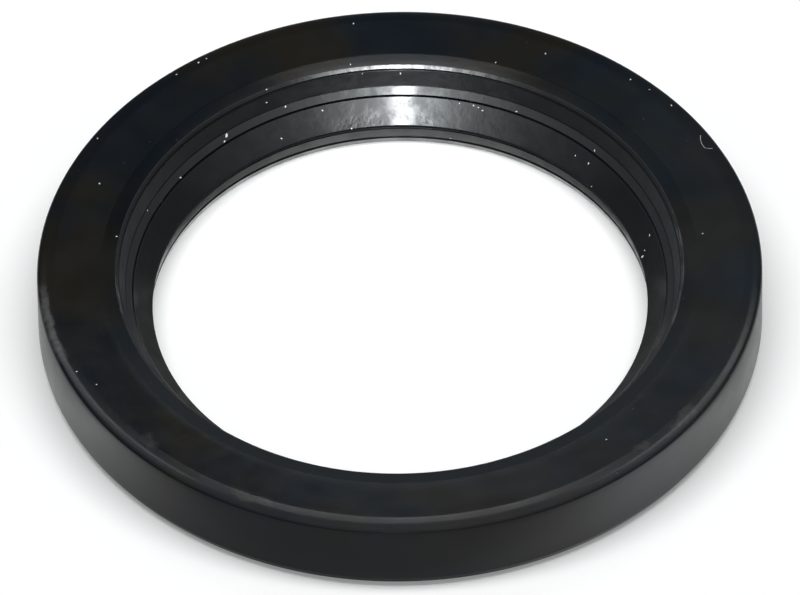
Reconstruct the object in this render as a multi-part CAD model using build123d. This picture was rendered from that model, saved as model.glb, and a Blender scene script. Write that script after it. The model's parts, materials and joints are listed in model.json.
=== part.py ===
from build123d import *
import os

# Radial shaft seal 63 x 90 x 10 mm: a moulded rubber body on a pressed steel ring, with a garter spring.
# Millimetres. The origin is the middle of the spring-side rim, and +Z runs along the shaft to the air side.
# Each section is drawn as (radius, height) points on the XZ plane and turned once around Z.

# What the seal fits
shaft_diameter = 63.0
housing_diameter = 90.0
seal_width = 10.0
lip_preload = 1.5  # how much smaller the free lip is than the shaft, on the diameter

# Pressed steel ring
steel_thickness = 1.0
steel_bend_radius = 1.0  # inside of the bend
heel_height = 1.2  # rubber between the end of the steel leg and the spring-side rim

# Rubber around the steel
cover_wall = 1.4  # outside the leg, pressed into the housing
liner_wall = 0.7  # inside the leg
face_skin = 0.9  # over the flange, on the air side
floor_skin = 0.6  # under the flange, in the spring cavity
flange_nose = 1.5  # from the flange's inner edge to the mouth

# Outer edges of the rubber
crown_width = 2.1  # air side, from the flat face out to the cover
crown_drop = 0.5
shoulder_drop = 0.15  # half way across the crown
crown_round = 8.0
rim_round = 0.3
entry_chamfer_width = 0.75  # spring side, leads into the housing
entry_chamfer_height = 1.3
heel_chamfer = 0.5

# Mouth and throat, from the air-side face down to the lip; radii are steps out from the lip's edge
mouth_step = 4.15
mouth_chamfer = 0.35
mouth_bevel_width = 1.75
mouth_bevel_drop = 0.2
mouth_round = 0.15
throat_step = 3.25
throat_depth = 2.8
ledge_step = 2.5
ledge_depth = 3.5
crease_width = 0.07  # the crease under the ledge, cut back into the wall
crease_drop = 0.28
flank_step = 2.29
flank_depth = 3.71

# Sealing lip
lip_depth = 6.5  # from the air-side face to the sealing edge
lip_round = 0.15
lip_land = 0.3
lip_relief = 0.2
nose_taper = 0.1  # how much wider the inside of the nose is at the toe
toe_clearance = 0.15  # between the toe and the plane of the spring-side rim
toe_chamfer_width = 0.2
toe_chamfer_height = 0.8
toe_width = 1.5
toe_round = 0.15
flex_wall = 1.2  # the thin wall that lets the lip follow the shaft
flex_round = 0.6

# Garter spring in its groove behind the lip
spring_coil_diameter = 1.8
spring_lift = 0.45  # spring's middle above the sealing edge
spring_play = 0.03
head_wall = 1.9  # rubber between the sealing edge and the bottom of the groove
groove_lip = 0.45  # rubber that keeps the spring in, past its middle

# Recesses left by the pins that centre the steel ring in the mould
locating_recess_count = 8
locating_recess_width = 3.0
locating_recess_height = 3.2

# Worked out from the sizes above
housing_radius = housing_diameter / 2
lip_radius = (shaft_diameter - lip_preload) / 2
mouth_radius = lip_radius + mouth_step
lip_height = seal_width - lip_depth
leg_outer_radius = housing_radius - cover_wall
leg_inner_radius = leg_outer_radius - steel_thickness
cavity_radius = leg_inner_radius - liner_wall
flange_inner_radius = mouth_radius + flange_nose
flange_top = seal_width - face_skin
cavity_roof = flange_top - steel_thickness - floor_skin
coil_radius = spring_coil_diameter / 2
spring_radius = lip_radius + head_wall + coil_radius
spring_height = lip_height + spring_lift
nose_radius = lip_radius + lip_relief
toe_radius = nose_radius + nose_taper


def turned(corners):
    """Turn a closed (radius, height, corner radius) outline once around the shaft axis."""
    with BuildPart() as solid:
        with BuildSketch(Plane.XZ):
            with BuildLine():
                FilletPolyline(
                    [(radius, height) for radius, height, _ in corners],
                    radius=[rounding for _, _, rounding in corners],
                    close=True,
                )
            make_face()
        revolve(axis=Axis.Z)
    return solid.part


def steel_ring():
    """L-section ring: a leg pressed up inside the cover and a flange under the air-side face."""
    return turned(
        [
            (leg_inner_radius, heel_height, 0),
            (leg_outer_radius, heel_height, 0),
            (leg_outer_radius, flange_top, steel_bend_radius + steel_thickness),
            (flange_inner_radius, flange_top, 0),
            (flange_inner_radius, flange_top - steel_thickness, 0),
            (leg_inner_radius, flange_top - steel_thickness, steel_bend_radius),
        ]
    )


def garter_spring():
    """The outer shape of the closed coil spring."""
    return Pos(0, 0, spring_height) * Torus(spring_radius, coil_radius)


def rubber_section():
    """Corners of the rubber body, from the spring-side rim up the outside, over the face and down the lip."""
    throat_radius = lip_radius + throat_step
    ledge_radius = lip_radius + ledge_step
    flank_radius = lip_radius + flank_step
    groove_lip_radius = spring_radius + groove_lip
    flex_outer_radius = throat_radius + flex_wall
    flex_low_height = seal_width - flank_depth - flex_round
    rim = [
        (cavity_radius + heel_chamfer, 0, 0),
        (housing_radius - entry_chamfer_width, 0, 0),
        (housing_radius, entry_chamfer_height, rim_round),
        (housing_radius, seal_width - crown_drop, rim_round),
        (housing_radius - crown_width / 2, seal_width - shoulder_drop, crown_round),
        (housing_radius - crown_width, seal_width, 0),
    ]
    mouth = [
        (mouth_radius + mouth_chamfer + mouth_bevel_width, seal_width, 0),
        (mouth_radius + mouth_chamfer, seal_width - mouth_bevel_drop, mouth_round),
        (mouth_radius, seal_width - mouth_bevel_drop - mouth_chamfer, mouth_round),
        (throat_radius, seal_width - throat_depth, 0),
        (ledge_radius, seal_width - ledge_depth, 0),
        (ledge_radius + crease_width, seal_width - ledge_depth - crease_drop, 0),
        (flank_radius, seal_width - flank_depth, 0),
    ]
    lip = [
        (lip_radius, lip_height, lip_round),
        (lip_radius, lip_height - lip_land, 0),
        (nose_radius, lip_height - lip_land - lip_relief, 0),
        (toe_radius, toe_clearance + toe_chamfer_height, 0),
        (toe_radius + toe_chamfer_width, toe_clearance, toe_round),
        (toe_radius + toe_chamfer_width + toe_width, toe_clearance, toe_round),
        (groove_lip_radius, spring_height - coil_radius, toe_round),
    ]
    back = [
        (groove_lip_radius, spring_height + coil_radius, 0),
        (flex_outer_radius, flex_low_height, flex_round),
        (flex_outer_radius, cavity_roof, flex_round),
        (cavity_radius, cavity_roof, flex_round),
        (cavity_radius, heel_chamfer, 0),
    ]
    return rim + mouth + lip + back


def rubber_body(steel):
    """Moulded rubber: cover, face, flex wall and lip in one piece around the steel ring."""
    body = turned(rubber_section())
    body -= steel
    body -= Pos(0, 0, spring_height) * Torus(spring_radius, coil_radius + spring_play)
    recess = Box(
        2 * liner_wall + steel_thickness / 2,
        locating_recess_width,
        locating_recess_height,
        align=(Align.MIN, Align.CENTER, Align.MIN),
    )
    for place in PolarLocations(cavity_radius - liner_wall, locating_recess_count):
        body -= place * recess
    return body


def main():
    steel = steel_ring()
    parts = {
        "rubber_body": rubber_body(steel),
        "steel_ring": steel,
        "garter_spring": garter_spring(),
    }
    os.makedirs("parts", exist_ok=True)
    for name, part in parts.items():
        export_step(part, f"parts/{name}.step")


main()
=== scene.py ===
"""Looks of a radial shaft seal, 63 x 90 x 10 mm: the moulded rubber, the phosphated steel ring that shows in
its locating recesses, the coiled garter spring, the dust on the rubber, and the studio that it stands in.

Metres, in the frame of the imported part: the origin is the middle of the spring-side rim, and +Z points to
the air side.
"""

import json
import math
import random

import bmesh
import bpy
import numpy as np
from bpy.props import FloatProperty, FloatVectorProperty, IntProperty, PointerProperty
from mathutils import Matrix, Quaternion, Vector
from mathutils.bvhtree import BVHTree


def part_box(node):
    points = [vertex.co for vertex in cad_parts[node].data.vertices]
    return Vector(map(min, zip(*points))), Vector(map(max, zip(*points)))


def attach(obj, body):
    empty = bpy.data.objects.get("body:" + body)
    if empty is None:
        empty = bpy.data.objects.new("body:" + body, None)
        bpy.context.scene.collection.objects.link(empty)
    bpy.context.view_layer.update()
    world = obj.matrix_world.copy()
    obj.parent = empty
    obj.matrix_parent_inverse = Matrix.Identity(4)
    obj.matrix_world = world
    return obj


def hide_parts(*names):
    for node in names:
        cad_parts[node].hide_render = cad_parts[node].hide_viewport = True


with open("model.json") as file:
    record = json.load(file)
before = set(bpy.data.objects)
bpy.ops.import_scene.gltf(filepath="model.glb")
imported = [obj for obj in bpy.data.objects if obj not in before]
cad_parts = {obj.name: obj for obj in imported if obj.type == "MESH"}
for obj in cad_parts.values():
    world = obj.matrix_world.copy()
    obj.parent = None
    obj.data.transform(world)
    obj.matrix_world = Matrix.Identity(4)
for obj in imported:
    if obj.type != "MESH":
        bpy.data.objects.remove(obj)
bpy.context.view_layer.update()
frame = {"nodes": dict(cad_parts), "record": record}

bl_info = {
    "name": "Radial Shaft Seal",
    "version": (1, 0, 0),
    "blender": (4, 5, 0),
    "location": "View3D > Sidebar > Shaft Seal",
    "description": "Rubber body, steel ring and garter spring of a shaft seal, with its dust and studio",
    "category": "Object",
}

# What the frame gives
MM = 0.001
_, RUBBER_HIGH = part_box("rubber_body")
_, STEEL_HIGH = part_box("steel_ring")
SPRING_LOW, SPRING_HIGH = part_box("garter_spring")
MOUNTS = {mount["name"]: mount for mount in frame["record"]["mounts"]}
HOUSING_RADIUS = RUBBER_HIGH.x
SEAL_WIDTH = RUBBER_HIGH.z
LIP_RADIUS = MOUNTS["lip_bore"]["dims"]["r_mm"] * MM
LAND_HEIGHT = MOUNTS["lip_bore"]["dims"]["length_mm"] * MM
LIP_HEIGHT = MOUNTS["lip_bore"]["pos_m"][2] + LAND_HEIGHT / 2
SPRING_COIL_RADIUS = (SPRING_HIGH.z - SPRING_LOW.z) / 2
SPRING_HEIGHT = (SPRING_HIGH.z + SPRING_LOW.z) / 2
SPRING_RADIUS = SPRING_HIGH.x - SPRING_COIL_RADIUS
LEG_OUTER_RADIUS = STEEL_HIGH.x

# The soft lamps, each with its place and its size, across and along: one overhead, one high behind the seal,
# and a tall one behind it on each side, which only shows in the rubber's gloss
KEY_PLACE = (0.0, -0.02, 0.52)
KEY_SIZE = (0.62, 0.10)
STRIP_PLACE = (0.0, 0.272, 0.512)
STRIP_SIZE = (0.16, 0.10)
SIDE_PLACES = {"left": (-0.240, 0.254, 0.466), "right": (0.241, 0.241, 0.469)}
SIDE_SIZE = (0.10, 0.26)

# The small lamps in front, one above the other, which light the back of the lip: the elevation of each in
# degrees and its share of a full one's power, then how far they stand to the left of straight in front, how
# far away, how wide each shines in degrees, how large it is and its colour
LIP_LAMPS = ((9.0, 0.03), (30.0, 1.0), (36.0, 1.0), (42.0, 1.0), (48.0, 1.0))
LIP_LAMP_LEFT = 0.036
LIP_LAMP_DISTANCE = 0.5
LIP_LAMP_CONE = 6.5
LIP_LAMP_SIZE = 0.018
LIP_LAMP_COLOUR = (0.94, 0.98, 1.0)

# Half the floor's side, the paper's own white, how much it glows for the camera on top of the light that
# falls on it, and how much painted light its mirror image in the lip's toe gets
FLOOR_HALF = 12.0
PAPER_WHITE = 0.85
PAPER_GLOW = 0.2
TOE_GLOW = 0.5

# Where the studio's dim walls turn into its lighter ceiling, as shares of the room's height and depth
ROOM_TURNS = (("Z", 0.35, 0.65), ("Y", 0.62, 0.35))

# Finishes of the rubber, in the order of its material slots
MOULDED, TRIMMED, CAVITY = range(3)

# Heights in millimetres where the rubber's finish changes: above the foot of the ledge, on the mouth's cut
# edge, where the crown's scuffs begin, and on the stretch of the flank that is wrinkled
LEDGE_FOOT = (6.15, 6.30)
CUT_EDGE = (9.36, 9.44)
SCUFF_FOOT = (9.40, 9.48)
WRINKLED = (3.6, 4.3)

# How far in the rounding of the air side's outer edge reaches, as a share of the crown's width
BRIM = 0.26

# The grooves at the throat's foot, under the lip and over the toe: how far each is from the nearer end of its
# stretch, in groove widths, and its scale
THROAT_NICK = (0.6, 1.1)
NOSE_NICK = (1.0, 1.5)
TOE_NICK = (1.3, 2.3)

# Edges of the rubber that turn by more degrees than this stay crisp
CRISP_EDGE = 24.0

# Rubbed places on the air side: bearing from and to and its fade in degrees, radius from and to in
# millimetres, and the brightness of the bare rubber
SCUFFS = (
    (-174.0, -164.0, 5.0, 44.0, 44.8, 0.055),
    (-137.6, -136.0, 1.4, 42.0, 43.2, 0.020),
    (-117.0, -113.5, 2.5, 42.9, 43.5, 0.024),
    (-47.6, -46.0, 0.8, 42.8, 43.3, 0.030),
    (-39.5, -35.5, 1.8, 43.5, 44.1, 0.035),
)

# Size of the picture that the camera is set up for, in pixels, and of its sensor
PICTURE_WIDTH = 800
PICTURE_HEIGHT = 595
SENSOR_WIDTH = 36.0

# The larger specks of dust: where each is seen in the picture, in pixels, and its length in millimetres
SPECK_PIXELS = (
    (226, 135, 0.65), (224, 141, 0.39), (180, 177, 0.39), (161, 201, 0.33), (147, 210, 0.33),
    (116, 236, 0.39), (97, 138, 0.33), (99, 183, 0.39), (285, 106, 0.39), (266, 102, 0.33),
    (322, 110, 0.33), (281, 138, 0.33), (353, 23, 0.39), (350, 64, 0.33), (206, 58, 0.33),
    (198, 62, 0.39), (176, 74, 0.33), (400, 73, 0.33), (495, 62, 0.33), (545, 53, 0.33),
    (459, 103, 0.26), (473, 105, 0.33), (478, 107, 0.26), (482, 110, 0.33), (516, 111, 0.33),
    (594, 150, 0.33), (575, 155, 0.26), (588, 163, 0.39), (591, 186, 0.26), (630, 79, 0.39),
    (649, 89, 0.33), (671, 105, 0.33), (649, 235, 0.39), (644, 250, 0.33), (642, 256, 0.65),
    (702, 233, 0.33), (697, 277, 0.39), (606, 439, 0.33), (96, 384, 0.39), (76, 371, 0.33),
    (351, 128, 0.33), (266, 89, 0.26), (450, 138, 0.26), (362, 73, 0.20),
)
# A curved fibre on the face, from end to end
FIBRE_PIXELS = ((700, 135), (700, 139), (701, 143), (704, 147), (708, 148), (712, 148))


def length(name, description, millimetres):
    """A length in the sidebar, given here in millimetres."""
    return FloatProperty(
        name=name, description=description, default=millimetres * MM, unit="LENGTH", precision=5
    )


class RubberSizes(bpy.types.PropertyGroup):
    """Section of the rubber body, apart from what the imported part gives, such as its outside and bore."""

    crown_width: length("Crown width", "From the flat face out to the cover, on the air side", 2.1)
    crown_drop: length("Crown drop", "How far the crown falls to the cover", 0.5)
    shoulder_drop: length("Shoulder drop", "How far the crown falls half way across", 0.15)
    crown_round: length("Crown rounding", "Radius of the crown", 3.0)
    rim_round: length("Rim rounding", "Radius of the outer edge, on the spring side", 0.3)
    brim_round: length("Brim rounding", "Radius of the outer edge, on the air side", 0.55)
    entry_chamfer_width: length("Entry chamfer width", "Across, on the spring side", 0.75)
    entry_chamfer_height: length("Entry chamfer height", "Up, on the spring side", 1.3)
    heel_chamfer: length("Heel chamfer", "Inner edge of the spring-side rim", 0.5)
    face_sink: length("Face sink", "Shrinkage of the flat face, which the dust stands in", 0.02)
    shoulder_round: length("Shoulder rounding", "Radius where the crown meets the face", 2.0)
    bevel_round: length("Bevel rounding", "Radius where the mouth's bevel meets the face", 2.0)
    sink_margin: length("Sink margin", "Across, from the face's edges to its sunk middle", 1.5)
    mouth_step: length("Mouth step", "From the sealing edge out to the mouth", 4.15)
    mouth_chamfer: length("Mouth chamfer", "Across and down, at the mouth's edge", 0.35)
    mouth_bevel_width: length("Mouth bevel width", "Across, round the mouth", 1.75)
    mouth_bevel_drop: length("Mouth bevel drop", "Down, round the mouth", 0.2)
    mouth_round: length("Mouth rounding", "Radius of the chamfer's two edges", 0.15)
    throat_step: length("Throat step", "From the sealing edge out to the throat's foot", 3.25)
    throat_depth: length("Throat depth", "From the air side down to the throat's foot", 2.8)
    ledge_step: length("Ledge step", "From the sealing edge out to the ledge's foot", 2.5)
    ledge_depth: length("Ledge depth", "From the air side down to the ledge's foot", 3.5)
    crease_width: length("Crease width", "How far the crease is cut back", 0.07)
    crease_drop: length("Crease drop", "From the ledge's foot down to the crease", 0.28)
    flank_step: length("Flank step", "From the sealing edge out to the flank's top", 2.29)
    flank_depth: length("Flank depth", "From the air side down to the flank's top", 3.71)
    lip_round: length("Lip rounding", "Radius of the sealing edge", 0.15)
    lip_relief: length("Lip relief", "Step back under the sealing land", 0.2)
    nose_taper: length("Nose taper", "How much wider the nose is at the toe", 0.1)
    toe_clearance: length("Toe clearance", "Toe above the spring-side rim", 0.15)
    toe_chamfer_width: length("Toe chamfer width", "Across, inner edge of the toe", 0.2)
    toe_chamfer_height: length("Toe chamfer height", "Up, inner edge of the toe", 0.8)
    toe_width: length("Toe width", "Flat under the lip", 1.5)
    toe_round: length("Toe rounding", "Radius of the toe's edges", 0.15)
    nick_width: length("Nick width", "Of the fine lines where the mould's parts meet", 0.18)
    nick_depth: length("Nick depth", "Of the fine lines where the mould's parts meet", 0.14)
    flex_wall: length("Flex wall", "Thickness of the flexing wall", 1.2)
    flex_round: length("Flex rounding", "Radius of the corners behind the lip", 0.6)
    groove_lip: length("Groove lip", "Rubber past the spring's middle", 0.45)
    spring_play: length("Spring play", "Gap between the spring and its groove", 0.03)
    steel_thickness: length("Steel thickness", "Of the ring's leg and flange", 1.0)
    liner_wall: length("Liner wall", "Rubber inside the steel leg", 0.7)
    floor_skin: length("Floor skin", "Rubber under the steel flange", 0.6)
    recess_count: IntProperty(
        name="Recesses", description="Locating recesses round the rim", default=8, min=1
    )
    recess_width: length("Recess width", "Of each locating recess", 3.0)
    recess_height: length("Recess height", "Of each locating recess", 3.2)
    columns: IntProperty(name="Columns", description="Sections round the ring", default=540, min=90)
    spacing: length("Spacing", "Longest step along the section", 0.9)


class SpringSizes(bpy.types.PropertyGroup):
    """The garter spring's wire and coils."""

    wire_diameter: length("Wire", "Diameter of the spring wire", 0.3)
    coil_gap: length("Coil gap", "Between neighbouring coils", 0.01)


class DustSizes(bpy.types.PropertyGroup):
    """Specks and a fibre on the rubber."""

    thickness: length("Speck thickness", "How far a speck stands up", 0.018)
    fibre_diameter: length("Fibre diameter", "Of the fibre on the face", 0.05)


class StageSettings(bpy.types.PropertyGroup):
    """Camera, lamps and floor."""

    elevation: FloatProperty(
        name="Elevation", description="Camera above the floor", default=math.radians(46.1), subtype="ANGLE"
    )
    roll: FloatProperty(
        name="Roll",
        description="Camera turned about its own axis",
        default=math.radians(-0.95),
        subtype="ANGLE",
    )
    distance: FloatProperty(name="Distance", description="Camera to the seal", default=2.7, unit="LENGTH")
    lens: FloatProperty(name="Lens", description="Focal length in millimetres", default=979.6)
    aim_down: length("Aim", "Aim below the middle of the air side, along the picture", 3.9)
    room_colour: FloatVectorProperty(
        name="Walls", description="Dim walls of the room", default=(0.050, 0.055, 0.060), subtype="COLOR"
    )
    ceiling_colour: FloatVectorProperty(
        name="Ceiling",
        description="Lighter ceiling on the camera's side",
        default=(0.28, 0.29, 0.30),
        subtype="COLOR",
    )
    key_radiance: FloatProperty(
        name="Key lamp", description="Radiance of the lamp overhead, for the shadow", default=12.4
    )
    strip_radiance: FloatProperty(
        name="Strip lamp", description="Radiance of the lamp high behind, for the sheen", default=2.6
    )
    side_radiance: FloatProperty(
        name="Side lamps", description="Radiance of the lamps for the crown", default=1.8
    )
    lip_power: FloatProperty(
        name="Lip lamps", description="Power of each small lamp, in watts", default=2.2
    )


class Recipe:
    """A material's node tree, with one short call for each kind of node that the finishes need."""

    def __init__(self, name):
        self.material = bpy.data.materials.new(name)
        self.material.use_nodes = True
        self.tree = self.material.node_tree
        self.shader = self.tree.nodes["Principled BSDF"]
        self.place = self.tree.nodes.new("ShaderNodeTexCoord").outputs["Object"]

    def link(self, source, target):
        """Connect an output, or set a plain value, on an input."""
        if isinstance(source, bpy.types.NodeSocket):
            self.tree.links.new(source, target)
        else:
            target.default_value = source

    def sums(self, operation, first, second=0.0, third=0.0):
        """One step of arithmetic."""
        node = self.tree.nodes.new("ShaderNodeMath")
        node.operation = operation
        for value, socket in zip((first, second, third), node.inputs):
            self.link(value, socket)
        return node.outputs[0]

    def times(self, first, *others):
        """The product of two or more values."""
        for other in others:
            first = self.sums("MULTIPLY", first, other)
        return first

    def spread(self, value, low, high, to_low=0.0, to_high=1.0):
        """Map low..high to to_low..to_high smoothly, and hold the ends."""
        node = self.tree.nodes.new("ShaderNodeMapRange")
        node.interpolation_type = "SMOOTHSTEP"
        for source, socket in zip((value, low, high, to_low, to_high), node.inputs):
            self.link(source, socket)
        return node.outputs[0]

    def cloud(self, size, detail=2.0, roughness=0.5, vector=None):
        """Noise whose features are about size metres across."""
        node = self.tree.nodes.new("ShaderNodeTexNoise")
        self.link(self.place if vector is None else vector, node.inputs["Vector"])
        node.inputs["Scale"].default_value = 1 / size
        node.inputs["Detail"].default_value = detail
        node.inputs["Roughness"].default_value = roughness
        return node.outputs["Fac"]

    def specks(self, cell, size, share):
        """One where a small round speck lies: a share of cells hold one."""
        near = self.tree.nodes.new("ShaderNodeTexVoronoi")
        near.inputs["Scale"].default_value = 1 / cell
        self.link(self.place, near.inputs["Vector"])
        inside = self.spread(near.outputs["Distance"], size / cell * 0.6, size / cell, 1.0, 0.0)
        parts = self.tree.nodes.new("ShaderNodeSeparateColor")
        self.link(near.outputs["Color"], parts.inputs[0])
        chosen = self.sums("GREATER_THAN", parts.outputs[0], 1 - share)
        return self.times(inside, chosen)

    def axes(self):
        """The three coordinates in the part's frame."""
        parts = self.tree.nodes.new("ShaderNodeSeparateXYZ")
        self.link(self.place, parts.inputs[0])
        return parts.outputs

    def radius(self):
        """Distance from the shaft axis."""
        x, y, _ = self.axes()
        return self.sums("SQRT", self.sums("MULTIPLY_ADD", x, x, self.times(y, y)))

    def window(self, value, low, high, soft):
        """One from low to high, which falls to nothing over soft on each side."""
        rise = self.spread(value, low - soft, low)
        fall = self.spread(value, high, high + soft, 1.0, 0.0)
        return self.times(rise, fall)

    def bearing(self):
        """Angle round the shaft axis, in degrees from -180 to 180, with nothing at +X and 90 at +Y."""
        x, y, _ = self.axes()
        return self.times(self.sums("ARCTAN2", y, x), math.degrees(1))

    def around(self, across, turns):
        """Coordinates that follow the turning: fine across the section, and slow the way round."""
        x, y, z = self.axes()
        radius = self.radius()
        depth = self.sums("MULTIPLY_ADD", z, 0.7 / across, self.times(radius, 1 / across))
        joined = self.tree.nodes.new("ShaderNodeCombineXYZ")
        self.link(depth, joined.inputs[0])
        self.link(self.times(self.sums("DIVIDE", x, radius), turns), joined.inputs[1])
        self.link(self.times(self.sums("DIVIDE", y, radius), turns), joined.inputs[2])
        return joined.outputs[0]

    def blend(self, factor, first, second):
        """The first colour where the factor is nothing, and the second where it is one."""
        node = self.tree.nodes.new("ShaderNodeMix")
        node.data_type = "RGBA"
        self.link(factor, node.inputs[0])
        self.link(first, node.inputs[6])
        self.link(second, node.inputs[7])
        return node.outputs[2]

    def bump(self, height, distance, strength=1.0, under=None):
        """A surface raised by up to distance metres, on top of the bumps given as under."""
        node = self.tree.nodes.new("ShaderNodeBump")
        node.inputs["Strength"].default_value = strength
        node.inputs["Distance"].default_value = distance
        self.link(height, node.inputs["Height"])
        if under is not None:
            self.link(under, node.inputs["Normal"])
        return node.outputs[0]

    def set(self, **inputs):
        """Finish the material with these inputs of its shader."""
        for name, value in inputs.items():
            self.link(value, self.shader.inputs[name.replace("_", " ")])
        return self.material


def moulded_rubber():
    """Black nitrile rubber as it leaves the mould: satin, faintly blotched, with a film round the mouth,
    painted light that makes it lighter in patches towards the front right, fine dust and a rubbed edge."""
    recipe = Recipe("moulded_rubber")
    x, y, height = recipe.axes()
    radius = recipe.radius()
    bluish, brownish = (0.0028, 0.0052, 0.0082, 1.0), (0.0082, 0.0070, 0.0045, 1.0)
    # Lighter blue and brown, for the film round the mouth and for the painted light towards the front right
    blue_haze_and_light, brown_haze_and_light = (0.0080, 0.0140, 0.0210, 1.0), (0.0135, 0.0142, 0.0135, 1.0)
    bloom, dust_colour = (0.0170, 0.0195, 0.0220, 1.0), (0.32, 0.33, 0.34, 1.0)
    blotch = recipe.spread(recipe.cloud(16 * MM, 3.0, 0.6), 0.35, 0.65)
    # Painted light: a lighter tone that grows towards the front right, over the face and the cover
    painted_light_front_right = recipe.spread(recipe.sums("MULTIPLY_ADD", y, -0.6, x), -12 * MM, 40 * MM, 0.0, 0.9)
    mouth_band = recipe.times(
        recipe.window(radius, 34.0 * MM, 36.8 * MM, 1.2 * MM),
        recipe.spread(y, -24 * MM, -4 * MM, 0.9, 0.0),
    )
    patches = recipe.spread(recipe.cloud(9 * MM, 4.0, 0.6), 0.3, 0.6, 0.6, 1.1)
    # The lighter tone in patches: painted light towards the front right, and the film round the mouth
    film = recipe.times(recipe.sums("MAXIMUM", painted_light_front_right, mouth_band), patches)
    colour = recipe.blend(blotch, bluish, brownish)
    colour = recipe.blend(film, colour, recipe.blend(blotch, blue_haze_and_light, brown_haze_and_light))
    colour = recipe.blend(mouth_band, colour, bloom)

    rubbed = recipe.spread(recipe.cloud(0.9 * MM, 2.0, 0.5), 0.25, 0.65, 0.4, 1.0)
    ragged = recipe.sums("MULTIPLY_ADD", recipe.cloud(2.2 * MM, 2.0, 0.5), 2.0 * MM, -1.0 * MM)
    ragged = recipe.sums("ADD", radius, ragged)
    on_crown = recipe.spread(height, SCUFF_FOOT[0] * MM, SCUFF_FOOT[1] * MM)
    for low, high, soft, inner, outer, shade in SCUFFS:
        reach = recipe.window(recipe.bearing(), low, high, soft)
        band = recipe.window(ragged, inner * MM, outer * MM, 0.5 * MM)
        scuff = recipe.times(reach, band, on_crown, rubbed)
        colour = recipe.blend(scuff, colour, (shade, shade, shade, 1.0))
    dust = recipe.specks(1.1 * MM, 0.06 * MM, 0.12)
    colour = recipe.blend(recipe.times(dust, 0.4), colour, dust_colour)

    roughness = recipe.spread(recipe.cloud(5 * MM, 4.0, 0.6), 0.3, 0.7, 0.20, 0.26)
    dull_bevel = recipe.times(
        recipe.window(radius, 35.0 * MM, 37.0 * MM, 0.25 * MM),
        recipe.spread(y, 31.0 * MM, 35.6 * MM, 1.0, 0.0),
        recipe.spread(y, 0.0, 8.0 * MM),
    )
    shine = recipe.sums("MULTIPLY_ADD", dull_bevel, -0.40, 0.5)
    grain = recipe.bump(recipe.cloud(0.25 * MM, 2.0, 0.6), 0.005 * MM)
    peel = recipe.bump(recipe.cloud(2.4 * MM, 2.0, 0.5), 0.015 * MM, under=grain)
    recipe.shader.inputs["IOR"].default_value = 1.5
    return recipe.set(Base_Color=colour, Roughness=roughness, Specular_IOR_Level=shine, Normal=peel)


def trimmed_rubber():
    """The mouth and lip, where the mould's overflow is cut away: glossy, with the knife's fine rings and
    marks, a film on the throat's sides and a few wrinkles. The mouth's edge is burnished at the back and
    scuffed at the sides."""
    recipe = Recipe("trimmed_rubber")
    _, y, height = recipe.axes()
    bearing = recipe.bearing()
    clean, hazed = (0.0055, 0.0060, 0.0065, 1.0), (0.0170, 0.0190, 0.0215, 1.0)
    bared = (0.085, 0.088, 0.090, 1.0)
    cut_edge = recipe.spread(height, CUT_EDGE[0] * MM, CUT_EDGE[1] * MM)
    throat = recipe.spread(height, LEDGE_FOOT[0] * MM, LEDGE_FOOT[1] * MM)
    patches = recipe.spread(recipe.cloud(2.2 * MM, 4.0, 0.65), 0.40, 0.62)

    film = recipe.times(throat, recipe.spread(y, 2 * MM, 27 * MM, 1.0, 0.0))
    scuffed = recipe.sums("ADD", recipe.window(bearing, -16, 14, 2), recipe.window(bearing, -178, -169, 1))
    worn = recipe.spread(recipe.cloud(1.0, 2.0, 0.5, vector=recipe.around(0.35 * MM, 12.0)), 0.44, 0.62)
    colour = recipe.blend(film, clean, hazed)
    colour = recipe.blend(recipe.times(scuffed, worn, cut_edge), colour, bared)

    rings = recipe.cloud(1.0, 3.0, 0.6, vector=recipe.around(0.16 * MM, 9.0))
    marks = recipe.bump(patches, 0.012 * MM, under=recipe.bump(rings, 0.004 * MM))
    wrinkled = recipe.sums("ADD", recipe.window(bearing, 95, 102, 4), recipe.window(bearing, 83, 84.5, 1.5))
    on_flank = recipe.window(height, WRINKLED[0] * MM, WRINKLED[1] * MM, 0.6 * MM)
    wrinkles = recipe.times(recipe.cloud(0.6 * MM, 3.0, 0.6), wrinkled, on_flank)
    marks = recipe.bump(wrinkles, 0.08 * MM, under=marks)

    streaks = recipe.spread(recipe.cloud(1.0, 3.0, 0.6, vector=recipe.around(1.6 * MM, 60.0)), 0.36, 0.60)
    streaks = recipe.sums("MULTIPLY_ADD", streaks, 0.65, 0.35)
    burnish = recipe.times(cut_edge, streaks, recipe.window(bearing, 78, 100, 15))
    plain_ior = recipe.sums("MULTIPLY_ADD", cut_edge, -0.15, 1.65)
    flank = recipe.sums("SUBTRACT", 1.0, throat)
    dull_flank = recipe.times(flank, recipe.window(y, 4 * MM, 16 * MM, 6 * MM), 0.4)
    bright_edge = recipe.times(cut_edge, recipe.window(bearing, 70, 106, 13))
    edge_coat = recipe.sums("MULTIPLY_ADD", bright_edge, 0.8, 1.0)
    edge_coat = recipe.sums("MULTIPLY_ADD", cut_edge, -0.8, edge_coat)
    patchy_coat = recipe.sums("MULTIPLY_ADD", patches, -0.35, 0.7)
    recipe.shader.inputs["Coat Roughness"].default_value = 0.15
    return recipe.set(
        Base_Color=colour,
        IOR=recipe.sums("MULTIPLY_ADD", burnish, 1.1, plain_ior),
        Roughness=recipe.sums("MULTIPLY_ADD", patches, 0.10, 0.38),
        Specular_IOR_Level=recipe.sums("MULTIPLY_ADD", dull_flank, -0.7, 0.7),
        Coat_Weight=recipe.times(patchy_coat, recipe.sums("SUBTRACT", 1.0, dull_flank), edge_coat),
        Normal=marks,
    )


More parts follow.
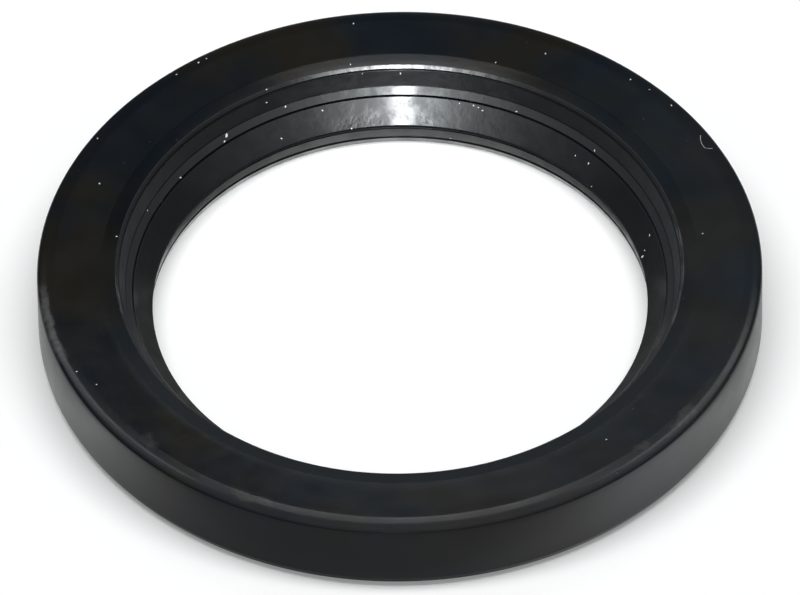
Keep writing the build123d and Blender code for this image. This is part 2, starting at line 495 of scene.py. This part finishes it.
def cavity_rubber():
    """The spring cavity: the same rubber, duller, with the mould's turning marks."""
    recipe = Recipe("cavity_rubber")
    rings = recipe.cloud(1.0, 3.0, 0.6, vector=recipe.around(0.3 * MM, 6.0))
    dark, dull = (0.009, 0.010, 0.011, 1.0), (0.017, 0.017, 0.016, 1.0)
    colour = recipe.blend(recipe.cloud(3 * MM, 3.0), dark, dull)
    roughness = recipe.spread(rings, 0.3, 0.7, 0.42, 0.58)
    recipe.shader.inputs["IOR"].default_value = 1.45
    return recipe.set(Base_Color=colour, Roughness=roughness, Normal=recipe.bump(rings, 0.015 * MM))


def phosphated_steel():
    """Pressed steel under a dark grey phosphate coat."""
    recipe = Recipe("phosphated_steel")
    crystals = recipe.cloud(0.12 * MM, 4.0, 0.7)
    stain = recipe.spread(recipe.cloud(2.5 * MM, 3.0, 0.6), 0.35, 0.7)
    colour = recipe.blend(stain, (0.23, 0.24, 0.24, 1.0), (0.36, 0.36, 0.35, 1.0))
    roughness = recipe.spread(crystals, 0.3, 0.7, 0.38, 0.6)
    recipe.shader.inputs["Metallic"].default_value = 1.0
    return recipe.set(Base_Color=colour, Roughness=roughness, Normal=recipe.bump(crystals, 0.008 * MM))


def spring_wire():
    """Drawn steel wire with a trace of oil."""
    recipe = Recipe("spring_wire")
    oil = recipe.spread(recipe.cloud(4 * MM, 3.0), 0.35, 0.65)
    colour = recipe.blend(oil, (0.42, 0.41, 0.39, 1.0), (0.60, 0.60, 0.59, 1.0))
    drawn = recipe.cloud(0.08 * MM, 2.0)
    recipe.shader.inputs["Metallic"].default_value = 1.0
    return recipe.set(
        Base_Color=colour,
        Roughness=recipe.spread(drawn, 0.3, 0.7, 0.22, 0.4),
        Normal=recipe.bump(drawn, 0.003 * MM),
    )


def lint():
    """Pale dust and fibre."""
    recipe = Recipe("lint")
    colour = recipe.blend(recipe.cloud(0.3 * MM), (0.55, 0.55, 0.55, 1.0), (0.85, 0.86, 0.88, 1.0))
    return recipe.set(Base_Color=colour, Roughness=0.7)


def arc(centre, radius, start, end, steps):
    """Points on an arc in the section, angles in radians from the outward direction."""
    angles = [start + (end - start) * step / steps for step in range(steps + 1)]
    return [(centre[0] + radius * math.cos(a), centre[1] + radius * math.sin(a)) for a in angles]


def rounded_corner(before, corner, after, rounding, steps):
    """Points of the arc that rounds one corner of the section."""
    inward = (Vector(before) - Vector(corner)).normalized()
    onward = (Vector(after) - Vector(corner)).normalized()
    half = inward.angle(onward) / 2
    middle = Vector(corner) + (inward + onward).normalized() * rounding / math.sin(half)
    first = Vector(corner) + inward * rounding / math.tan(half) - middle
    last = Vector(corner) + onward * rounding / math.tan(half) - middle
    start = math.atan2(first.y, first.x)
    turn = math.remainder(math.atan2(last.y, last.x) - start, 2 * math.pi)
    return arc(middle, rounding, start, start + turn, steps)


def nick(start, end, distance, sizes, finish, scale=1.0):
    """Corners of a fine groove across the stretch from start to end, at a distance from its start."""
    along = (Vector(end) - Vector(start)).normalized()
    inward = Vector((-along.y, along.x))
    middle = Vector(start) + along * distance
    half = along * sizes.nick_width * scale / 2
    deep = inward * sizes.nick_depth * scale
    places = (middle - half, middle - half + deep, middle + half + deep, middle + half)
    return [(place.x, place.y, 0, finish) for place in places]


def rim_corners(sizes):
    """From the spring cavity round the spring-side rim, up the cover and over the crown to the flat face."""
    recess_radius = LEG_OUTER_RADIUS - sizes.steel_thickness / 2
    cavity_radius = LEG_OUTER_RADIUS - sizes.steel_thickness - sizes.liner_wall
    face_radius = HOUSING_RADIUS - sizes.crown_width
    shoulder_radius = HOUSING_RADIUS - sizes.crown_width / 2
    brim_radius = HOUSING_RADIUS - sizes.crown_width * BRIM
    brim_drop = sizes.crown_drop + (sizes.shoulder_drop - sizes.crown_drop) * BRIM * 2
    return [
        (cavity_radius, sizes.recess_height, 0, CAVITY),
        (cavity_radius, sizes.heel_chamfer, 0, CAVITY),
        (cavity_radius + sizes.heel_chamfer, 0, 0, MOULDED),
        (recess_radius, 0, 0, MOULDED),
        (HOUSING_RADIUS - sizes.entry_chamfer_width, 0, 0, MOULDED),
        (HOUSING_RADIUS, sizes.entry_chamfer_height, sizes.rim_round, MOULDED),
        (HOUSING_RADIUS, SEAL_WIDTH - sizes.crown_drop, sizes.brim_round, MOULDED),
        (brim_radius, SEAL_WIDTH - brim_drop, 0, MOULDED),
        (shoulder_radius, SEAL_WIDTH - sizes.shoulder_drop, sizes.crown_round, MOULDED),
        (face_radius, SEAL_WIDTH, sizes.shoulder_round, MOULDED),
        (face_radius - sizes.sink_margin, SEAL_WIDTH - sizes.face_sink, 0, MOULDED),
    ]


def mouth_corners(sizes):
    """From the flat face over the mouth's edge and down the throat and ledge to the lip's flank."""
    mouth = (LIP_RADIUS + sizes.mouth_step, SEAL_WIDTH - sizes.mouth_bevel_drop - sizes.mouth_chamfer)
    chamfer = (mouth[0] + sizes.mouth_chamfer, mouth[1] + sizes.mouth_chamfer)
    bevel_radius = chamfer[0] + sizes.mouth_bevel_width
    throat = (LIP_RADIUS + sizes.throat_step, SEAL_WIDTH - sizes.throat_depth)
    ledge = (LIP_RADIUS + sizes.ledge_step, SEAL_WIDTH - sizes.ledge_depth)
    from_end, scale = THROAT_NICK
    throat_nick = math.dist(mouth, throat) - sizes.nick_width * from_end
    return [
        (bevel_radius + sizes.sink_margin, SEAL_WIDTH - sizes.face_sink, 0, MOULDED),
        (bevel_radius, SEAL_WIDTH, sizes.bevel_round, MOULDED),
        (*chamfer, sizes.mouth_round, TRIMMED),
        (*mouth, sizes.mouth_round, MOULDED),
        *nick(mouth, throat, sizes.mouth_round + sizes.nick_width / 2, sizes, TRIMMED),
        *nick(mouth, throat, throat_nick, sizes, TRIMMED, scale),
        (*ledge, 0, MOULDED),
        (ledge[0] + sizes.crease_width, ledge[1] - sizes.crease_drop, 0, MOULDED),
        (LIP_RADIUS + sizes.flank_step, SEAL_WIDTH - sizes.flank_depth, 0, TRIMMED),
    ]


def lip_corners(sizes):
    """From the sealing edge down the nose, under the toe and up to the spring's groove."""
    nose = (LIP_RADIUS + sizes.lip_relief, LIP_HEIGHT - LAND_HEIGHT - sizes.lip_relief)
    toe = (nose[0] + sizes.nose_taper, sizes.toe_clearance + sizes.toe_chamfer_height)
    toe_inside = toe[0] + sizes.toe_chamfer_width
    nose_nick = sizes.nick_width * NOSE_NICK[0]
    toe_nick = math.dist(nose, toe) - sizes.nick_width * TOE_NICK[0]
    return [
        (LIP_RADIUS, LIP_HEIGHT, sizes.lip_round, MOULDED),
        (LIP_RADIUS, LIP_HEIGHT - LAND_HEIGHT, 0, MOULDED),
        (*nose, 0, TRIMMED),
        *nick(nose, toe, nose_nick, sizes, TRIMMED, NOSE_NICK[1]),
        *nick(nose, toe, toe_nick, sizes, TRIMMED, TOE_NICK[1]),
        (toe_inside, sizes.toe_clearance, sizes.toe_round, CAVITY),
        (toe_inside + sizes.toe_width, sizes.toe_clearance, sizes.toe_round, CAVITY),
        (SPRING_RADIUS + sizes.groove_lip, SPRING_HEIGHT - SPRING_COIL_RADIUS, sizes.toe_round, CAVITY),
    ]


def cavity_corners(sizes):
    """Round the spring's groove, up the back of the flexing wall and out under the flange."""
    groove_radius = SPRING_COIL_RADIUS + sizes.spring_play
    opening = math.acos(sizes.groove_lip / groove_radius)
    groove = arc((SPRING_RADIUS, SPRING_HEIGHT), groove_radius, -opening, opening - 2 * math.pi, 18)
    flex_radius = LIP_RADIUS + sizes.throat_step + sizes.flex_wall
    cavity_radius = LEG_OUTER_RADIUS - sizes.steel_thickness - sizes.liner_wall
    cavity_roof = STEEL_HIGH.z - sizes.steel_thickness - sizes.floor_skin
    return [(radius, height, 0, CAVITY) for radius, height in groove] + [
        (SPRING_RADIUS + sizes.groove_lip, SPRING_HEIGHT + SPRING_COIL_RADIUS, 0, CAVITY),
        (flex_radius, SEAL_WIDTH - sizes.flank_depth - sizes.flex_round, sizes.flex_round, CAVITY),
        (flex_radius, cavity_roof, sizes.flex_round, CAVITY),
        (cavity_radius, cavity_roof, sizes.flex_round, CAVITY),
    ]


def rubber_corners(sizes):
    """Corners of the rubber's section: radius, height, rounding, and the finish of the stretch that starts
    there."""
    return rim_corners(sizes) + mouth_corners(sizes) + lip_corners(sizes) + cavity_corners(sizes)


def outline(corners, spacing, arc_steps=5):
    """Points of a closed section, its corners rounded and its long stretches divided, and the finish after
    each."""
    shaped = []
    for index, (radius, height, rounding, finish) in enumerate(corners):
        before = corners[index - 1][:2]
        after = corners[(index + 1) % len(corners)][:2]
        if rounding:
            points = rounded_corner(before, (radius, height), after, rounding, arc_steps)
        else:
            points = [(radius, height)]
        shaped += [(point, finish) for point in points]
    points, finishes = [], []
    for index, (point, finish) in enumerate(shaped):
        following = shaped[(index + 1) % len(shaped)][0]
        count = max(1, math.ceil(math.dist(point, following) / spacing))
        for step in range(count):
            share = step / count
            points.append([near + (far - near) * share for near, far in zip(point, following)])
            finishes.append(finish)
    return np.array(points), finishes


def recessed(points, sizes):
    """The section through a locating recess: the liner's stretch runs round the recess, inside the steel."""
    recess_radius = LEG_OUTER_RADIUS - sizes.steel_thickness / 2
    tolerance = 1e-9
    foot = (recess_radius, 0)
    last = next(index for index, point in enumerate(points) if math.dist(point, foot) < tolerance)
    cut = points.copy()
    roof_steps = 2
    for index in range(1, last):
        if index <= roof_steps:
            share = index / roof_steps
            cut[index] = (points[0][0] + (recess_radius - points[0][0]) * share, sizes.recess_height)
        else:
            share = (index - roof_steps) / (last - roof_steps)
            cut[index] = (recess_radius, sizes.recess_height * (1 - share))
    return cut


def column_angles(sizes):
    """Angles of the sections, and whether each goes through a recess. A recess's edge has one of each."""
    step = 2 * math.pi / sizes.columns
    half = math.asin(sizes.recess_width / 2 / (LEG_OUTER_RADIUS - sizes.steel_thickness))
    pitch = 2 * math.pi / sizes.recess_count
    columns = []
    for index in range(sizes.columns):
        angle = index * step
        off = math.remainder(angle, pitch)
        if abs(abs(off) - half) > step / 4:
            columns.append((angle, 1, abs(off) < half))
    for index in range(sizes.recess_count):
        middle = index * pitch
        for angle, order in ((middle - half, (0, 2)), (middle + half, (2, 0))):
            columns.append((angle % (2 * math.pi), order[0], False))
            columns.append((angle % (2 * math.pi), order[1], True))
    columns.sort(key=lambda column: column[:2])
    return [(angle, cut) for angle, _, cut in columns]


def ring_faces(columns, points):
    """Quads of a closed grid of sections, facing outwards for a section that runs anticlockwise."""
    column = np.repeat(np.arange(columns), points)
    point = np.tile(np.arange(points), columns)
    next_column = (column + 1) % columns
    next_point = (point + 1) % points
    corners = [(column, point), (next_column, point), (next_column, next_point), (column, next_point)]
    return np.stack([c * points + p for c, p in corners], axis=1)


def mesh_object(name, vertices, faces, materials, face_materials=None):
    """A mesh in the part's frame, with its materials."""
    mesh = bpy.data.meshes.new(name)
    mesh.from_pydata(vertices.tolist(), [], faces.tolist())
    for material in materials:
        mesh.materials.append(material)
    if face_materials is not None:
        mesh.polygons.foreach_set("material_index", face_materials)
    mesh.update()
    piece = bpy.data.objects.new(name, mesh)
    bpy.context.scene.collection.objects.link(piece)
    return piece


def weld(piece, distance=1e-7):
    """Join points that lie in one place, which also drops the empty faces between them."""
    work = bmesh.new()
    work.from_mesh(piece.data)
    bmesh.ops.remove_doubles(work, verts=work.verts, dist=distance)
    work.to_mesh(piece.data)
    work.free()
    piece.data.update()


class SEAL_OT_rubber_body(bpy.types.Operator):
    """Build the moulded rubber body"""

    bl_idname = "seal.rubber_body"
    bl_label = "Rubber Body"

    def execute(self, context):
        sizes = context.scene.seal_rubber
        points, finishes = outline(rubber_corners(sizes), sizes.spacing)
        cut_points = recessed(points, sizes)
        columns = column_angles(sizes)
        sections = np.stack([cut_points if cut else points for _, cut in columns])
        angles = np.array([angle for angle, _ in columns])[:, None]
        radius, height = sections[:, :, 0], sections[:, :, 1]
        places = [radius * np.cos(angles), radius * np.sin(angles), height]
        vertices = np.stack(places, axis=2).reshape(-1, 3)
        faces = ring_faces(len(columns), len(points))
        materials = [moulded_rubber(), trimmed_rubber(), cavity_rubber()]
        body = mesh_object("rubber_moulding", vertices, faces, materials, np.tile(finishes, len(columns)))
        weld(body)
        body.data.shade_smooth()
        body.data.set_sharp_from_angle(angle=math.radians(CRISP_EDGE))
        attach(body, "root")
        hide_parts("rubber_body")
        return {"FINISHED"}


class SEAL_OT_steel_ring(bpy.types.Operator):
    """Give the pressed steel ring its phosphate coat"""

    bl_idname = "seal.steel_ring"
    bl_label = "Steel Ring"

    def execute(self, context):
        ring = frame["nodes"]["steel_ring"]
        ring.data.materials.clear()
        ring.data.materials.append(phosphated_steel())
        return {"FINISHED"}


class SEAL_OT_garter_spring(bpy.types.Operator):
    """Wind the garter spring that sits in the groove behind the lip"""

    bl_idname = "seal.garter_spring"
    bl_label = "Garter Spring"

    def execute(self, context):
        sizes = context.scene.seal_spring
        wire = sizes.wire_diameter / 2
        coil = SPRING_COIL_RADIUS - wire
        turns = int(2 * math.pi * SPRING_RADIUS / (sizes.wire_diameter + sizes.coil_gap))
        around = 14
        sides = 6
        rings = turns * around
        share = np.arange(rings) / rings
        theta = 2 * math.pi * share
        phase = 2 * math.pi * turns * share
        outward = np.stack([np.cos(theta), np.sin(theta), np.zeros(rings)], axis=1)
        up = np.array([0.0, 0.0, 1.0])
        spoke = outward * np.cos(phase)[:, None] + up * np.sin(phase)[:, None]
        centre = outward * SPRING_RADIUS + up * SPRING_HEIGHT + spoke * coil
        along = np.roll(centre, -1, axis=0) - np.roll(centre, 1, axis=0)
        along /= np.linalg.norm(along, axis=1)[:, None]
        across = np.cross(along, spoke)
        turn = 2 * math.pi * np.arange(sides) / sides
        skin = spoke[:, None] * np.cos(turn)[None, :, None] + across[:, None] * np.sin(turn)[None, :, None]
        vertices = (centre[:, None] + skin * wire).reshape(-1, 3)
        faces = ring_faces(rings, sides)[:, ::-1]
        spring = mesh_object("garter_spring_coils", vertices, faces, [spring_wire()])
        spring.data.shade_smooth()
        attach(spring, "root")
        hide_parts("garter_spring")
        return {"FINISHED"}


def sight(camera, pixel):
    """Start and direction of the line of sight through a pixel of the picture."""
    across = (pixel[0] + 0.5 - PICTURE_WIDTH / 2) / PICTURE_WIDTH
    down = (pixel[1] + 0.5 - PICTURE_HEIGHT / 2) / PICTURE_WIDTH
    reach = SENSOR_WIDTH / camera.data.lens
    turned = camera.rotation_quaternion @ Vector((across * reach, -down * reach, -1.0))
    return camera.location, turned.normalized()


def below_top(place, rise):
    """The place, sunk where a thing that rises from it would stand out over the air side."""
    return Vector((place.x, place.y, min(place.z, SEAL_WIDTH - rise)))


def speck(work, place, normal, size, thickness, draw):
    """Add one irregular flake, which stands on the surface at place."""
    turn = Matrix.Rotation(draw.uniform(0, math.tau), 3, "Z")
    stand = normal.to_track_quat("Z", "Y").to_matrix() @ turn
    sides = 7
    spots = []
    for share, height in ((1.0, -0.2 * thickness), (0.7, 0.8 * thickness)):
        for side in range(sides):
            angle = math.tau * side / sides
            reach = size / 2 * share * draw.uniform(0.7, 1.0)
            spot = Vector((reach * math.cos(angle), 0.6 * reach * math.sin(angle), height))
            spots.append(place + stand @ spot)
    sink = Vector((0, 0, max(0, max(spot.z for spot in spots) - SEAL_WIDTH)))
    corners = [work.verts.new(spot - sink) for spot in spots]
    rings = (corners[:sides], corners[sides:])
    for side in range(sides):
        after = (side + 1) % sides
        work.faces.new((rings[0][side], rings[0][after], rings[1][after], rings[1][side]))
    work.faces.new(rings[1])


def fibre(work, places, radius):
    """Add a thin round fibre through the places, from end to end."""
    sides = 6
    rings = []
    for index, place in enumerate(places):
        before = places[max(index - 1, 0)]
        after = places[min(index + 1, len(places) - 1)]
        stand = (after - before).to_track_quat("Z", "Y").to_matrix()
        turns = [math.tau * side / sides for side in range(sides)]
        rings.append([
            work.verts.new(place + stand @ Vector((math.cos(turn), math.sin(turn), 0)) * radius)
            for turn in turns
        ])
    for first, second in zip(rings, rings[1:]):
        for side in range(sides):
            after = (side + 1) % sides
            work.faces.new((first[side], first[after], second[after], second[side]))
    work.faces.new(rings[0][::-1])
    work.faces.new(rings[-1])


class SEAL_OT_dust(bpy.types.Operator):
    """Lay specks of dust and a fibre on the rubber where the camera sees them"""

    bl_idname = "seal.dust"
    bl_label = "Dust"

    def execute(self, context):
        sizes = context.scene.seal_dust
        camera = context.scene.camera
        body = bpy.data.objects["rubber_moulding"].data
        tree = BVHTree.FromPolygons([v.co for v in body.vertices], [p.vertices for p in body.polygons])
        draw = random.Random(5)
        work = bmesh.new()
        for x, y, size in SPECK_PIXELS:
            place, normal, _, _ = tree.ray_cast(*sight(camera, (x, y)))
            if place is None:
                raise RuntimeError(f"no rubber behind the speck at {x}, {y}")
            speck(work, place, normal, size * MM, sizes.thickness, draw)
        radius = sizes.fibre_diameter / 2
        places = [tree.ray_cast(*sight(camera, pixel))[0] for pixel in FIBRE_PIXELS]
        fibre(work, [below_top(place, radius) for place in places], radius)
        mesh = bpy.data.meshes.new("dust")
        work.to_mesh(mesh)
        work.free()
        mesh.materials.append(lint())
        dust = bpy.data.objects.new("dust", mesh)
        context.scene.collection.objects.link(dust)
        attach(dust, "root")
        return {"FINISHED"}


def studio_world(walls, ceiling):
    """A dim room, with a ceiling lighter above and on the camera's side, that looks white to the camera."""
    world = bpy.data.worlds.new("studio_room")
    world.use_nodes = True
    nodes, links = world.node_tree.nodes, world.node_tree.links
    parts = nodes.new("ShaderNodeSeparateXYZ")
    links.new(nodes.new("ShaderNodeTexCoord").outputs["Generated"], parts.inputs[0])
    both = nodes.new("ShaderNodeMath")
    both.operation = "MULTIPLY"
    for index, (axis, nothing, full) in enumerate(ROOM_TURNS):
        share = nodes.new("ShaderNodeMapRange")
        share.interpolation_type = "SMOOTHSTEP"
        share.inputs["From Min"].default_value = nothing
        share.inputs["From Max"].default_value = full
        links.new(parts.outputs[axis], share.inputs["Value"])
        links.new(share.outputs["Result"], both.inputs[index])
    colour = nodes.new("ShaderNodeMix")
    colour.data_type = "RGBA"
    links.new(both.outputs[0], colour.inputs[0])
    colour.inputs[6].default_value = (*walls, 1.0)
    colour.inputs[7].default_value = (*ceiling, 1.0)
    room = nodes["Background"]
    links.new(colour.outputs[2], room.inputs["Color"])
    white = nodes.new("ShaderNodeBackground")
    white.inputs["Color"].default_value = (1.0, 1.0, 1.0, 1.0)
    rays = nodes.new("ShaderNodeLightPath")
    mix = nodes.new("ShaderNodeMixShader")
    links.new(rays.outputs["Is Camera Ray"], mix.inputs[0])
    links.new(room.outputs[0], mix.inputs[1])
    links.new(white.outputs[0], mix.inputs[2])
    links.new(mix.outputs[0], nodes["World Output"].inputs["Surface"])
    return world


def floor_paper():
    """White paper that keeps the shadow and is clear from below. Its mirror image in the rubber carries
    painted shade close to the seal's front and sides and inside its bore, and painted light under the lip's
    toe."""
    recipe = Recipe("floor_paper")
    rays = recipe.tree.nodes.new("ShaderNodeLightPath")
    camera_ray, glossy_ray = rays.outputs["Is Camera Ray"], rays.outputs["Is Glossy Ray"]
    seen = recipe.sums("MAXIMUM", camera_ray, glossy_ray)
    seen = recipe.sums("MAXIMUM", seen, rays.outputs["Is Transmission Ray"])
    x, y, _ = recipe.axes()
    across = recipe.sums("ABSOLUTE", x)
    radius = recipe.radius()
    # Painted shade for glossy rays: the paper's mirror image is darker by the front, sides, bore and nose
    front = recipe.spread(recipe.sums("MULTIPLY_ADD", x, 0.19, y), -51 * MM, -27 * MM, 0.72, 0.0)
    sideways = recipe.sums("ABSOLUTE", recipe.sums("ADD", x, -0.1 * MM))
    beside = recipe.spread(sideways, 44.0 * MM, 48.5 * MM, 0.0, 0.52)
    bore = recipe.spread(radius, 28.2 * MM, 29.4 * MM, 0.92, 0.0)
    painted_shade_under_nose = recipe.times(
        recipe.spread(radius, 30.3 * MM, 30.7 * MM, 1.0, 0.0),
        recipe.spread(across, 4 * MM, 24 * MM, 0.34, 0.85),
    )
    shade = front
    for other in (beside, bore, painted_shade_under_nose):
        shade = recipe.sums("MAXIMUM", shade, other)
    level = recipe.sums("SUBTRACT", 1.0, recipe.times(shade, glossy_ray))
    albedo = recipe.times(level, PAPER_WHITE)
    joined = recipe.tree.nodes.new("ShaderNodeCombineColor")
    for socket in joined.inputs[:3]:
        recipe.link(albedo, socket)
    glow = recipe.times(seen, level, PAPER_GLOW)
    # Painted light for glossy rays: the paper glows more in the toe's mirror image
    painted_light_under_toe = recipe.times(
        recipe.spread(radius, 30.3 * MM, 30.7 * MM),
        recipe.spread(radius, 31.8 * MM, 32.2 * MM, TOE_GLOW, 0.0),
    )
    glow = recipe.sums("MULTIPLY_ADD", painted_light_under_toe, glossy_ray, glow)
    recipe.set(Base_Color=joined.outputs[0], Roughness=1.0, Specular_IOR_Level=0.0)
    recipe.set(Emission_Color=(1.0, 1.0, 1.0, 1.0), Emission_Strength=glow)
    nodes, links = recipe.tree.nodes, recipe.tree.links
    side = nodes.new("ShaderNodeNewGeometry")
    clear = nodes.new("ShaderNodeBsdfTransparent")
    mix = nodes.new("ShaderNodeMixShader")
    links.new(side.outputs["Backfacing"], mix.inputs[0])
    links.new(recipe.shader.outputs[0], mix.inputs[1])
    links.new(clear.outputs[0], mix.inputs[2])
    links.new(mix.outputs[0], nodes["Material Output"].inputs["Surface"])
    return recipe.material


def lamp(name, kind, place, target, **settings):
    """A lamp at a place, pointing at a target."""
    data = bpy.data.lights.new(name, kind)
    for key, value in settings.items():
        setattr(data, key, value)
    made = bpy.data.objects.new(name, data)
    made.location = place
    made.rotation_mode = "QUATERNION"
    made.rotation_quaternion = (Vector(target) - Vector(place)).to_track_quat("-Z", "Y")
    bpy.context.scene.collection.objects.link(made)
    return made


def soft_lamp(name, place, size, radiance):
    """A rectangular soft lamp that points at the seal, with its size across the picture and along."""
    across, along = size
    return lamp(
        name,
        "AREA",
        place,
        (0.0, 0.0, 0.0),
        shape="RECTANGLE",
        size=across,
        size_y=along,
        energy=radiance * math.pi * across * along,
    )


class SEAL_OT_stage(bpy.types.Operator):
    """Set up the floor, the lamps, the room and the camera"""

    bl_idname = "seal.stage"
    bl_label = "Stage"

    def execute(self, context):
        scene = context.scene
        settings = scene.seal_stage
        corners = FLOOR_HALF * np.array([(-1, -1, 0), (1, -1, 0), (1, 1, 0), (-1, 1, 0)])
        floor = mesh_object("floor", corners, np.array([(0, 1, 2, 3)]), [floor_paper()])

        scene.world = studio_world(settings.room_colour, settings.ceiling_colour)
        key = soft_lamp("key_lamp", KEY_PLACE, KEY_SIZE, settings.key_radiance)
        key.visible_glossy = False
        soft_lamp("strip_lamp", STRIP_PLACE, STRIP_SIZE, settings.strip_radiance)
        for side, place in SIDE_PLACES.items():
            beside = soft_lamp(f"{side}_lamp", place, SIDE_SIZE, settings.side_radiance)
            beside.visible_diffuse = False
        lip_back = Vector((0.0, LIP_RADIUS + 2 * MM, SEAL_WIDTH / 2))
        for number, (elevation, share) in enumerate(LIP_LAMPS):
            low = math.radians(elevation)
            direction = Vector((-LIP_LAMP_LEFT, -math.cos(low), math.sin(low)))
            lamp(
                f"lip_lamp_{number}",
                "SPOT",
                lip_back + direction * LIP_LAMP_DISTANCE,
                lip_back,
                energy=settings.lip_power * share,
                color=LIP_LAMP_COLOUR,
                spot_size=math.radians(LIP_LAMP_CONE),
                spot_blend=1.0,
                shadow_soft_size=LIP_LAMP_SIZE,
            )

        back = Vector((0.0, -math.cos(settings.elevation), math.sin(settings.elevation)))
        above = Vector((0.0, math.sin(settings.elevation), math.cos(settings.elevation)))
        aim = Vector((0.0, 0.0, SEAL_WIDTH)) - above * settings.aim_down
        data = bpy.data.cameras.new("camera")
        data.sensor_width = SENSOR_WIDTH
        data.lens = settings.lens
        data.clip_start = 0.01
        data.clip_end = 60.0
        camera = bpy.data.objects.new("camera", data)
        camera.location = aim + back * settings.distance
        camera.rotation_mode = "QUATERNION"
        camera.rotation_quaternion = (-back).to_track_quat("-Z", "Y") @ Quaternion((0, 0, 1), settings.roll)
        scene.collection.objects.link(camera)
        scene.camera = camera
        scene.view_settings.view_transform = "Standard"
        return {"FINISHED"}


class SEAL_PT_panel(bpy.types.Panel):
    """The seal's pieces and sizes"""

    bl_idname = "SEAL_PT_panel"
    bl_label = "Shaft Seal"
    bl_space_type = "VIEW_3D"
    bl_region_type = "UI"
    bl_category = "Shaft Seal"

    def draw(self, context):
        layout = self.layout
        scene = context.scene
        for label, group, operators in (
            ("Rubber body", scene.seal_rubber, ("seal.rubber_body",)),
            ("Steel and spring", scene.seal_spring, ("seal.steel_ring", "seal.garter_spring")),
            ("Stage", scene.seal_stage, ("seal.stage",)),
            ("Dust", scene.seal_dust, ("seal.dust",)),
        ):
            box = layout.box()
            box.label(text=label)
            for name in group.__annotations__:
                box.prop(group, name)
            for operator in operators:
                box.operator(operator)


CLASSES = (
    RubberSizes,
    SpringSizes,
    DustSizes,
    StageSettings,
    SEAL_OT_rubber_body,
    SEAL_OT_steel_ring,
    SEAL_OT_garter_spring,
    SEAL_OT_stage,
    SEAL_OT_dust,
    SEAL_PT_panel,
)


def register():
    for cls in CLASSES:
        bpy.utils.register_class(cls)
    bpy.types.Scene.seal_rubber = PointerProperty(type=RubberSizes)
    bpy.types.Scene.seal_spring = PointerProperty(type=SpringSizes)
    bpy.types.Scene.seal_stage = PointerProperty(type=StageSettings)
    bpy.types.Scene.seal_dust = PointerProperty(type=DustSizes)


def unregister():
    del bpy.types.Scene.seal_dust
    del bpy.types.Scene.seal_stage
    del bpy.types.Scene.seal_spring
    del bpy.types.Scene.seal_rubber
    for cls in reversed(CLASSES):
        bpy.utils.unregister_class(cls)


def main():
    register()
    bpy.ops.seal.rubber_body()
    bpy.ops.seal.steel_ring()
    bpy.ops.seal.garter_spring()
    bpy.ops.seal.stage()
    bpy.ops.seal.dust()


if __name__ == "__main__":
    main()
